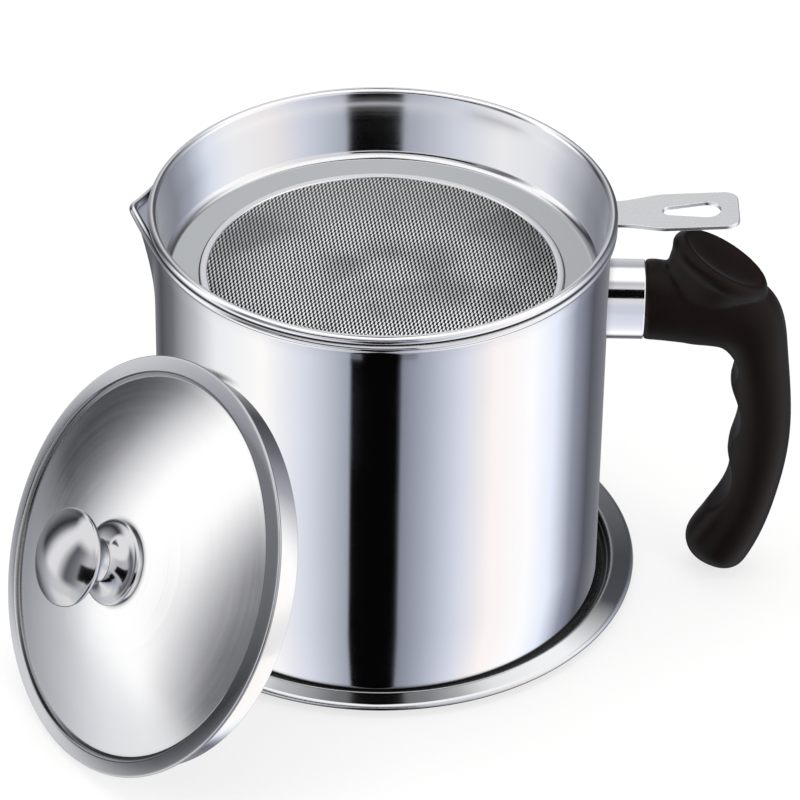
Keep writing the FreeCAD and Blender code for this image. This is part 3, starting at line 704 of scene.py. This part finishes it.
# %% [markdown]
# ## Polished stainless steel
# The sheet is 18/10 stainless, spun or drawn and then polished on a wheel. It mirrors
# sharply, has next to no colour of its own, and the wheel leaves very fine lines round
# the axis. The lines depend only on the distance from the axis and the height along it,
# so noise is read with those two numbers: an image of a brushed surface would show a
# seam. Real lines are 0.05 mm apart, which is too fine to show, so they are drawn at
# about 0.7 mm, and kept faint. Smears of 22 mm are as wide as a polishing cloth presses.

# %% Lines of the polishing wheel
def wheel_lines(tree, centre, axis, line_mm):
    """The place on the piece, noise across the wheel's lines, and their direction."""
    place = add(tree, "TexCoord").outputs["Object"]
    from_axis = add(tree, "VectorMath", {0: place, 1: centre}, operation="SUBTRACT")
    around = add(tree, "VectorMath", {0: axis, 1: from_axis}, operation="CROSS_PRODUCT")
    radius = add(tree, "VectorMath", {0: around}, operation="LENGTH")
    height = add(tree, "VectorMath", {0: from_axis, 1: axis}, operation="DOT_PRODUCT")
    pair = add(tree, "CombineXYZ", {"X": radius, "Y": height})
    lines = add(tree, "TexNoise", {"Vector": pair, "Scale": 1 / (line_mm * MM), "Detail": 3.0})
    return place, lines, add(tree, "VectorMath", {0: around}, operation="NORMALIZE")


print("wheel lines ready")

# %% [markdown]
# ## Narrow gaps, and faces that lean a little
# The dark in a rolled edge or below a rim is light that never gets out again. Bouncing
# it truly takes many samples, so ambient occlusion within a few millimetres darkens the
# steel there. And a flange that dishes by a few degrees mirrors another part of the
# room, so its normal can be tipped outward or along the axis, while the sheet stays flat.

# %% Crevices and tipped normals
CREVICE_DARK = 0.02


def openness(tree, reach_mm, shut, clear_from):
    """Painted shade: 1 on open metal, and nearly 0 in a gap narrower than the reach."""
    occlusion = add(tree, "AmbientOcclusion", {"Distance": reach_mm * MM}, samples=12)
    return add(tree, "MapRange", {
        "Value": occlusion.outputs["AO"], "From Min": shut, "From Max": clear_from,
        "To Min": CREVICE_DARK, "To Max": 1.0})


def tipped(tree, normal, along, axis, flare, lean):
    """A normal tipped outward from the axis by flare, and along the axis by lean."""
    out = add(tree, "VectorMath", {0: along, 1: axis}, operation="CROSS_PRODUCT")
    result = add(tree, "VectorMath", {0: out, "Scale": flare}, operation="SCALE")
    for more in (tuple(v * lean for v in axis), normal):
        result = add(tree, "VectorMath", {0: result, 1: more}, operation="ADD")
    return add(tree, "VectorMath", {0: result}, operation="NORMALIZE")


print("a gap goes down to", CREVICE_DARK, "of the open metal's light")

# %% Spun and polished steel
SMEAR_MM = 22
LINE_HEIGHT = 0.004 * MM


def spun_steel(name, colour, rough, centre=(0, 0, 0), axis=(0, 0, 1), line_mm=0.7, line_depth=0.25,
               spread=0.5, flare=0.0, lean=0.0, crevice=(5.0, 0.1, 0.75)):
    """Steel polished round an axis. crevice is the painted shade in gaps: reach in mm, shut and
    clear_from.
    """
    material, tree, shader = start_material(name)
    place, lines, along = wheel_lines(tree, centre, axis, line_mm)
    smears = add(tree, "TexNoise", {"Vector": place, "Scale": 1 / (SMEAR_MM * MM), "Detail": 4.0})
    wear = add(tree, "Math", {0: lines, 1: smears}, operation="MULTIPLY")
    roughness = add(tree, "MapRange", {
        "Value": wear, "From Min": 0.12, "From Max": 0.42, "To Min": rough[0], "To Max": rough[1]})
    bump = add(tree, "Bump", {"Height": lines, "Strength": line_depth, "Distance": LINE_HEIGHT})
    brighter = [min(1.0, v * 1.06) for v in linear(colour)[:3]] + [1.0]
    tint = add(tree, "Mix", {
        "Factor": smears, MIX_A: linear(colour), MIX_B: brighter}, data_type="RGBA")
    # The steel's colour is scaled by the painted shade of its gaps.
    shaded = add(tree, "VectorMath", {
        0: tint, "Scale": openness(tree, *crevice)}, operation="SCALE")
    connect(tree, shader, {
        "Base Color": shaded, "Roughness": roughness, "Tangent": along,
        "Normal": tipped(tree, bump, along, axis, flare, lean),
        "Metallic": 1.0, "Anisotropic": spread, "Anisotropic Rotation": 0.25})
    return material


def paint_part(material, piece, belongs, place=Matrix.Identity(4)):
    """A second material for the faces whose radius and height pass a test."""
    piece.data.materials.append(material)
    to_axis = place.inverted()
    for face in piece.data.polygons:
        x, y, z = (to_axis @ face.center) / MM
        face.material_index = int(belongs(hypot(x, y), z))
    print(piece.name, "faces of", material.name, sum(f.material_index for f in piece.data.polygons))


print("a smear is", SMEAR_MM, "mm wide")

# %% [markdown]
# ## Pot and sleeve
# The drawn wall gets the best polish of all, so its roughness is the lowest and its
# reflections are nearly sharp: long pale and dark bands that run from rim to floor. The
# sleeve was polished along its own axis, which lies across the pot's, and it narrows a
# little towards the grip.

# %% Steel of the pot and the sleeve
pot_steel = spun_steel("polished stainless, drawn pot", "#e6e6e8", (0.05, 0.09),
                       spread=0.2, crevice=(2.5, 0.5, 0.9))
ferrule_steel = spun_steel("polished stainless, drawn sleeve", "#f2f2f4", (0.08, 0.15),
                           centre=(0, 0, HUB_Z * MM), axis=(1, 0, 0), lean=-0.32)
paint(pot_steel, pot)
paint(ferrule_steel, ferrule)
print("polished", pot.name, "and", ferrule.name)

# %% [markdown]
# ## Strainer
# The collar is spun from thinner sheet and polished once, so it is a little duller than
# the pot. Its ledge is the same steel in a darker colour, as a painted dimmer reflection,
# and shows as an even grey band. The ring is bright rolled strip, folded after it was
# polished: a soft gleam without lines.

# %% Steel of the strainer
# Besides the finish, crevice paints shade into the strainer's gaps.
COLLAR_FINISH_AND_GAP_SHADE = dict(rough=(0.1, 0.17), spread=0.2, crevice=(2.5, 0.5, 0.9))

collar_steel = spun_steel("polished stainless, spun strainer", "#ebebed", **COLLAR_FINISH_AND_GAP_SHADE)
# The ledge's darker colour is a painted dimmer reflection on the collar's own steel.
dimmed_ledge_steel = spun_steel("stainless, ledge of the strainer", "#cccecf", **COLLAR_FINISH_AND_GAP_SHADE)
ring_steel = spun_steel("bright-rolled stainless, mesh ring", "#f6f6f8", (0.2, 0.3),
                        line_depth=0.0, crevice=(1.0, 0.0, 0.3))
paint(collar_steel, collar)
paint_part(dimmed_ledge_steel, collar, lambda r, z: z < LEDGE_Z + 0.25)
paint(ring_steel, ring)

# %% [markdown]
# ## Lid and knob
# A pressed dome keeps a fine wheel finish, which draws each highlight out across the
# lines into a fan. The knob is turned from bar and looks a shade darker. The flange and
# the gutter inside it are satin, because the wheel doesn't reach them well, and the
# flange dishes towards the dome.

# %% Steel of the lid and the knob
ON_THE_LID = dict(centre=tuple(lid_place.translation), axis=tuple(lid_axis))

lid_steel = spun_steel("polished stainless, pressed lid", "#eaeaea", (0.12, 0.2),
                       spread=0.75, crevice=(3.0, 0.3, 0.8), **ON_THE_LID)
knob_steel = spun_steel("polished stainless, turned knob", "#c8c8ca", (0.1, 0.16),
                        spread=0.5, crevice=(3.0, 0.3, 0.8), **ON_THE_LID)
flange_steel = spun_steel("satin stainless, lid flange", "#bcbdc0", (0.16, 0.24),
                          spread=0.3, flare=-0.5, crevice=(3.0, 0.5, 0.95), **ON_THE_LID)
paint(lid_steel, lid, skirt)
paint(knob_steel, base, cap)
paint_part(flange_steel, lid, lambda r, z: r > DOME_R + 0.05, lid_place)

# %% [markdown]
# ## Drip tray
# The tray is stamped from bright sheet and polished only on its flange. Its floor shows
# the wheel's lines as a fan of pale and dark rays. The flange falls outward by some 15
# degrees in the mirror, which `flare` gives as the tangent of that angle.

# %% Steel of the tray
# Besides the tilt, crevice paints near-black shade into the tray's well round the pot.
TRAY_TILT_AND_GAP_SHADE = dict(flare=0.268, crevice=(12.0, 0.55, 0.72))

tray_steel = spun_steel("bright stainless, stamped tray", "#dbdcde", (0.12, 0.24),
                        line_mm=1.1, **TRAY_TILT_AND_GAP_SHADE)
tray_flange_steel = spun_steel("polished stainless, tray flange", "#dbdcde", (0.04, 0.07),
                               line_depth=0.1, spread=0.1, **TRAY_TILT_AND_GAP_SHADE)
paint(tray_steel, drip_tray)
paint_part(tray_flange_steel, drip_tray, lambda r, z: r > 69.8 and z > 3.6)
print("tray painted in", len(drip_tray.data.materials), "steels")

# %% [markdown]
# ## Brushed tab, bracket and screws
# The tab is blanked from sheet with a fine belt finish that runs along it, which greys
# its reflections. Stretched noise gives the belt lines: 40 times longer than wide, and
# 0.5 mm wide, where a real belt leaves lines of 0.1 mm. Zinc plate has as fine a grain
# but no direction, so the same finish serves without the stretch.

# %% Belt-finished steel and zinc plate
GRAIN_MM = 0.5


def grained_steel(name, colour, stretch=(1 / 40, 1.0, 1.0)):
    """Steel with a fine matt grain, drawn out along X unless the stretch is even."""
    material, tree, shader = start_material(name)
    place = add(tree, "TexCoord").outputs["Object"]
    drawn_out = add(tree, "Mapping", {"Vector": place, "Scale": stretch})
    grain = add(tree, "TexNoise", {
        "Vector": drawn_out, "Scale": 1 / (GRAIN_MM * MM), "Detail": 3.0, "Roughness": 0.6})
    roughness = add(tree, "MapRange", {
        "Value": grain, "From Min": 0.3, "From Max": 0.7, "To Min": 0.2, "To Max": 0.34})
    bump = add(tree, "Bump", {"Height": grain, "Strength": 0.4, "Distance": 0.01 * MM})
    connect(tree, shader, {
        "Base Color": linear(colour), "Metallic": 1.0, "Roughness": roughness, "Normal": bump})
    return material


tab_steel = grained_steel("belt-finished stainless, blanked tab", "#f0f0f0")
bracket_steel = grained_steel("belt-finished stainless, bracket", "#b9babc")
zinc_plate = grained_steel("zinc-plated steel, screws and washers", "#a9adb1", (1.0, 1.0, 1.0))
paint(tab_steel, tab)
paint(bracket_steel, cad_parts["handle_bracket"])
for node_name in ("handle_screw", "handle_washer", "knob_screw", "knob_washer"):
    paint(zinc_plate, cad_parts[node_name])
print("grain of", GRAIN_MM, "mm on six pieces")

# %% [markdown]
# ## Woven mesh
# Plain-woven stainless wire. The real cloth has about 0.45 mm between wires, which is
# one and a half pixels here, so it is drawn at 0.58 mm by 1.7 mm. Two sine waves at
# right angles make it: where their product is positive the warp wire lies on top and
# catches the light, and where it is negative it dives under the weft. That light is
# painted into the colour: a painted highlight on each raised wire, and painted shade,
# nearly black, in the holes. To the eye it is a grey cloth of light and dark dots, paler
# in patches where it bulges, and those paler patches are a painted sheen.

# %% Plain weave
WARP_MM, WEFT_MM, WEAVE_TURN = 0.58, 1.7, radians(11)
SHEEN_PATCH_MM = 24


def weave_height(tree, place):
    """How high the upper wire lies over the cloth, from below 0 in a hole to over 1."""
    along = add(tree, "VectorRotate", {
        "Vector": place, "Angle": WEAVE_TURN}, rotation_type="Z_AXIS")
    parts = add(tree, "SeparateXYZ", {"Vector": along})
    waves = []
    for axis, pitch in (("X", WARP_MM), ("Y", WEFT_MM)):
        phase = add(tree, "Math", {
            0: parts.outputs[axis], 1: pi / (pitch * MM)}, operation="MULTIPLY")
        waves.append(add(tree, "Math", {0: phase}, operation="SINE"))
    over = add(tree, "Math", {0: waves[0], 1: waves[1]}, operation="MULTIPLY")
    wire = add(tree, "Math", {0: waves[0]}, operation="ABSOLUTE")
    return add(tree, "Math", {0: wire, 1: 0.35, 2: over}, operation="MULTIPLY_ADD")


def woven_steel(name):
    """Cloth with painted light: raised wires painted bright as a highlight, and holes nearly black
    as painted shade.
    """
    material, tree, shader = start_material(name)
    place = add(tree, "TexCoord").outputs["Object"]
    height = weave_height(tree, place)
    # The wire's height sets the painted highlight on top and the painted shade in the holes.
    shade = add(tree, "MapRange", {"Value": height, "From Min": 0.12, "From Max": 0.3})
    # Paler patches of noise are a painted sheen where the cloth bulges.
    clouds = add(tree, "TexNoise", {"Vector": place, "Scale": 1 / (SHEEN_PATCH_MM * MM), "Detail": 2.0})
    patches = add(tree, "MapRange", {
        "Value": clouds, "From Min": 0.35, "From Max": 0.65, "To Min": 0.7, "To Max": 1.3})
    factor = add(tree, "Math", {0: shade, 1: patches}, operation="MULTIPLY")
    colour = add(tree, "Mix", {
        "Factor": factor, MIX_A: linear("#070708"), MIX_B: linear("#ffffff")}, data_type="RGBA")
    bump = add(tree, "Bump", {"Height": height, "Strength": 0.7, "Distance": 0.15 * MM})
    connect(tree, shader, {
        "Base Color": colour, "Metallic": 0.7, "Roughness": 0.42, "Normal": bump})
    return material


paint(woven_steel("plain-woven stainless wire"), weave)
print("weave of", WARP_MM, "by", WEFT_MM, "mm")

# %% [markdown]
# ## Moulded grip
# Phenolic resin, pressed in a polished mould: nearly black with a brown cast, a satin
# skin with a soft wide highlight, and a very fine orange peel. Noise of 0.9 mm makes the
# peel, and noise of 18 mm the patches that hands have polished. Resin of this kind is
# filled with wood flour, which dulls its mirror, so its specular level is low.

# %% Phenolic resin
PEEL_MM, WORN_MM = 0.9, 18


def phenolic(name):
    """Dark satin resin with a fine orange peel."""
    material, tree, shader = start_material(name)
    place = add(tree, "TexCoord").outputs["Object"]
    peel, worn = (
        add(tree, "TexNoise", {"Vector": place, "Scale": 1 / (size * MM), "Detail": 3.0})
        for size in (PEEL_MM, WORN_MM))
    roughness = add(tree, "MapRange", {
        "Value": worn, "From Min": 0.3, "From Max": 0.7, "To Min": 0.36, "To Max": 0.46})
    bump = add(tree, "Bump", {"Height": peel, "Strength": 0.12, "Distance": 0.03 * MM})
    colour = add(tree, "Mix", {
        "Factor": worn, MIX_A: linear("#0e0705"), MIX_B: linear("#160b07")}, data_type="RGBA")
    connect(tree, shader, {
        "Base Color": colour, "Roughness": roughness, "Normal": bump,
        "IOR": 1.5, "Specular IOR Level": 0.14})
    return material


paint(phenolic("pressed phenolic resin, satin"), grip)
print("grip painted, orange peel of", PEEL_MM, "mm")

# %% [markdown]

# %% [markdown]
# ## The table
# A white laminate table. In a catalogue it fades to pure white, so where the camera
# looks straight at it most of it glows at strength 1, and the rest is lit by the lamps
# and keeps the object's shadow.

# %% Table
TABLE_HALF = 3
GLOW_SHARE = 0.72

table_corners = [(x * TABLE_HALF, y * TABLE_HALF, 0)
                 for x, y in ((-1, -1), (1, -1), (1, 1), (-1, 1))]
table_mesh = bpy.data.meshes.new("table")
table_mesh.from_pydata(table_corners, [], [(0, 1, 2, 3)])
table = put("table", table_mesh)

laminate, tree, shader = start_material("white laminate table")
connect(tree, shader, {"Base Color": linear("#f4f4f2"), "Roughness": 0.6})
glow = add(tree, "Emission", {"Color": (1, 1, 1, 1), "Strength": 1.0})
looked_at = add(tree, "LightPath").outputs["Is Camera Ray"]
glow_share = add(tree, "Math", {0: looked_at, 1: GLOW_SHARE}, operation="MULTIPLY")
lit_and_glowing = add(tree, "MixShader", {0: glow_share, 1: shader, 2: glow})
connect(tree, tree.nodes["Material Output"], {"Surface": lit_and_glowing})
paint(laminate, table)
print("table of", 2 * TABLE_HALF, "m")

# %% [markdown]
# ## The tent
# Polished steel shows what stands round it, so a studio hangs a pale tent round the
# object, with dark strips that give the metal its contrast. Real cards would throw
# shadows and get in the way of other views. So the tent is painted in the world, by the
# bearing and the height of the direction that a mirror ray takes, and only mirror rays
# see it. Bearing 0 is towards the front and positive bearings are to the right. The
# height runs from 0 straight down to 1 straight up.

# %% Bearing and height of a ray
world = scene.world or bpy.data.worlds.new("studio")
scene.world = world
world.use_nodes = True
sky = world.node_tree
sky.nodes.clear()

direction = add(sky, "TexCoord").outputs["Generated"]
parts = add(sky, "SeparateXYZ", {"Vector": direction})
to_front = add(sky, "Math", {0: parts.outputs["Y"], 1: -1.0}, operation="MULTIPLY")
bearing = add(sky, "Math", {0: parts.outputs["X"], 1: to_front}, operation="ARCTAN2")
turn_share = add(sky, "MapRange", {"Value": bearing, "From Min": -pi, "From Max": pi})
height_share = add(sky, "MapRange", {
    "Value": parts.outputs["Z"], "From Min": -1.0, "From Max": 1.0})
print("nodes that find bearing and height", len(sky.nodes))

# %% [markdown]
# ## Walls, strips and roof
# The low walls are what an upright wall of the pot mirrors, seen from above. The high
# walls are what the lid and the flat faces mirror. A strip is a window in bearing times
# a window in height: one for the outside of the pot, one for the inside of the strainer,
# one for the lid. The strip in the roof gives the dark patch on the tray's flange.

# %% Colours of the tent
BLACK, WHITE = "#000000", "#ffffff"
BY_BEARING = {
    "low walls": (
        (-180, "#8a8b90"), (-150, "#4e4f54"), (-132, "#6c6d72"), (-108, "#bcbdc2"),
        (-92, "#eceef0"), (-62, "#fffdfa"), (-38, "#d8dce6"), (-15, "#9aa0ac"),
        (10, "#7c808c"), (24, "#a6abb9"), (42, "#d6dae6"), (60, "#fdf6f2"), (84, WHITE),
        (100, "#e9effc"), (118, "#8f93a2"), (136, "#55575f"), (180, "#8a8b90")),
    "high walls": (
        (-180, "#d0d1d4"), (-158, "#a6a7ac"), (-126, "#2c2d31"), (-117, "#77787d"),
        (-108, "#dcdcdf"), (-101, WHITE), (-84, WHITE), (-76, "#c8c8cc"), (-67, "#5a5b60"),
        (-52, "#86878c"), (-36, "#d0d0d4"), (0, "#c8c8cc"), (40, "#dcdce0"),
        (66, "#fbf6f2"), (92, WHITE), (116, "#a0a2ac"), (138, "#66686f"), (147, "#54565b"),
        (156, "#46474b"), (167, "#77787c"), (180, "#d0d1d4")),
    "roof strip": (
        (-180, "#0a0a0a"), (-173, "#0a0a0a"), (-172, "#6e6e70"), (-168, "#747476"),
        (-161, "#a6a6a8"), (-156, "#c0c0c2"), (-151, WHITE), (149, WHITE), (154, "#f0f0f0"),
        (159, "#b4b4b5"), (166, "#848486"), (172, "#767678"), (173, "#0a0a0a"),
        (180, "#0a0a0a")),
    "pot strip": ((-15.4, BLACK), (-14.6, WHITE), (9.6, WHITE), (11.0, BLACK)),
    "strainer strip": ((-9.4, BLACK), (-8.4, WHITE), (17.8, WHITE), (19.2, BLACK)),
    "lid strip": ((-48.0, BLACK), (-46.0, WHITE), (16.0, WHITE), (18.0, BLACK)),
}
BY_HEIGHT = {
    "over low walls": ((0.34, BLACK), (0.42, WHITE)),
    "over high walls": ((0.82, BLACK), (0.89, WHITE)),
    "middle of the roof": ((0.9, BLACK), (0.92, WHITE)),
    "pot strip up": ((0.23, WHITE), (0.24, BLACK)),
    "strainer strip up": ((0.23, BLACK), (0.24, WHITE), (0.38, WHITE), (0.4, BLACK)),
    "lid strip up": ((0.485, BLACK), (0.5, WHITE), (0.69, WHITE), (0.705, BLACK)),
}

tent = {}
for share, full, start, table_of_stops in (
    (turn_share, 360, 0.5, BY_BEARING), (height_share, 1, 0.0, BY_HEIGHT),
):
    for name, stops in table_of_stops.items():
        tent[name] = add(sky, "ValToRGB", {"Fac": share}, label=name)
        elements = tent[name].color_ramp.elements
        for element, (place, colour) in zip(elements, (stops[0], stops[-1])):
            element.position, element.color = place / full + start, linear(colour)
        for place, colour in stops[1:-1]:
            elements.new(place / full + start).color = linear(colour)
print("ramps of the tent", len(tent))

# %% [markdown]
# ## The layers of the tent
# The layers go over one another from the bottom up, as a painter would lay them: low
# walls, a veil over them where the inside of the strainer mirrors, high walls, roof, and
# the dark strips last.

# %% Layers together
VEIL = 0.35

strips = 0.0
for name in ("pot strip", "strainer strip", "lid strip"):
    strips = add(sky, "Math", {
        0: tent[name], 1: tent[name + " up"], 2: strips}, operation="MULTIPLY_ADD")
veil = add(sky, "Math", {0: tent["strainer strip up"], 1: VEIL}, operation="MULTIPLY")
roof = add(sky, "Mix", {
    0: tent["middle of the roof"], MIX_A: linear(WHITE), MIX_B: tent["roof strip"]},
    data_type="RGBA")
surround = tent["low walls"]
for share, layer in (
    (veil, linear("#b2b6be")), (tent["over low walls"], tent["high walls"]),
    (tent["over high walls"], roof), (strips, linear("#060505")),
):
    surround = add(sky, "Mix", {0: share, MIX_A: surround, MIX_B: layer}, data_type="RGBA")
print("nodes of the world so far", len(sky.nodes))

# %% [markdown]
# ## What each ray sees
# The camera sees plain white at strength 1, and so does light that comes through. Mirror
# rays see the tent. All other rays see a soft even light, which the lamps shape.

# %% World shader
EVEN_LIGHT, TENT_LIGHT = 0.7, 1.2

ray_kind = add(sky, "LightPath").outputs
seen_white = add(sky, "Math", {
    0: ray_kind["Is Camera Ray"], 1: ray_kind["Is Transmission Ray"]}, operation="MAXIMUM")
even, mirrored, white = (
    add(sky, "Background", {"Color": colour, "Strength": strength})
    for colour, strength in (
        (linear(WHITE), EVEN_LIGHT), (surround, TENT_LIGHT), (linear(WHITE), 1.0)))
lit = add(sky, "MixShader", {0: ray_kind["Is Glossy Ray"], 1: even, 2: mirrored})
shown = add(sky, "MixShader", {0: seen_white, 1: lit, 2: white})
add(sky, "OutputWorld", {"Surface": shown})
print("nodes of the world", len(sky.nodes))

# %% [markdown]
# ## Lamps
# Three soft boxes give the grip its shape and the table its shadow: a large one above
# and behind, and one on each side. Steel doesn't mirror them, because the tent already
# holds all that it should show. A sun would do for the shadow, but its edge is hard.

# %% Soft boxes
LOOK_AT = Vector((0, 0, 0.06))
SOFT_BOXES = (  # name, place, width and height, watts
    ("overhead box", (0.0, 0.15, 1.3), (1.1, 0.9), 9.0),
    ("left box", (-1.1, -0.55, 0.75), (0.6, 0.9), 6.0),
    ("right box", (1.0, -0.8, 0.6), (0.45, 0.9), 5.0),
)
for name, place, (wide, high), watts in SOFT_BOXES:
    lamp = bpy.data.lights.new(name, "AREA")
    lamp.shape, lamp.size, lamp.size_y, lamp.energy = "RECTANGLE", wide, high, watts
    box = put(name, lamp)
    box.location = place
    box.rotation_euler = (LOOK_AT - Vector(place)).to_track_quat("-Z", "Y").to_euler()
    box.visible_glossy = False

# %% [markdown]
# ## Clean reflections
# A catalogue picture of polished steel is lit so that each face mirrors only the tent,
# never the piece beside it. The pieces are left out of each other's reflections here,
# and the dark in narrow gaps comes from the crevice shading above.

# %% Leave the pieces out of mirror reflections
meshes = [thing for thing in scene.objects if thing.type == "MESH"]
for thing in meshes:
    thing.visible_glossy = False
print("meshes left out of reflections", len(meshes))
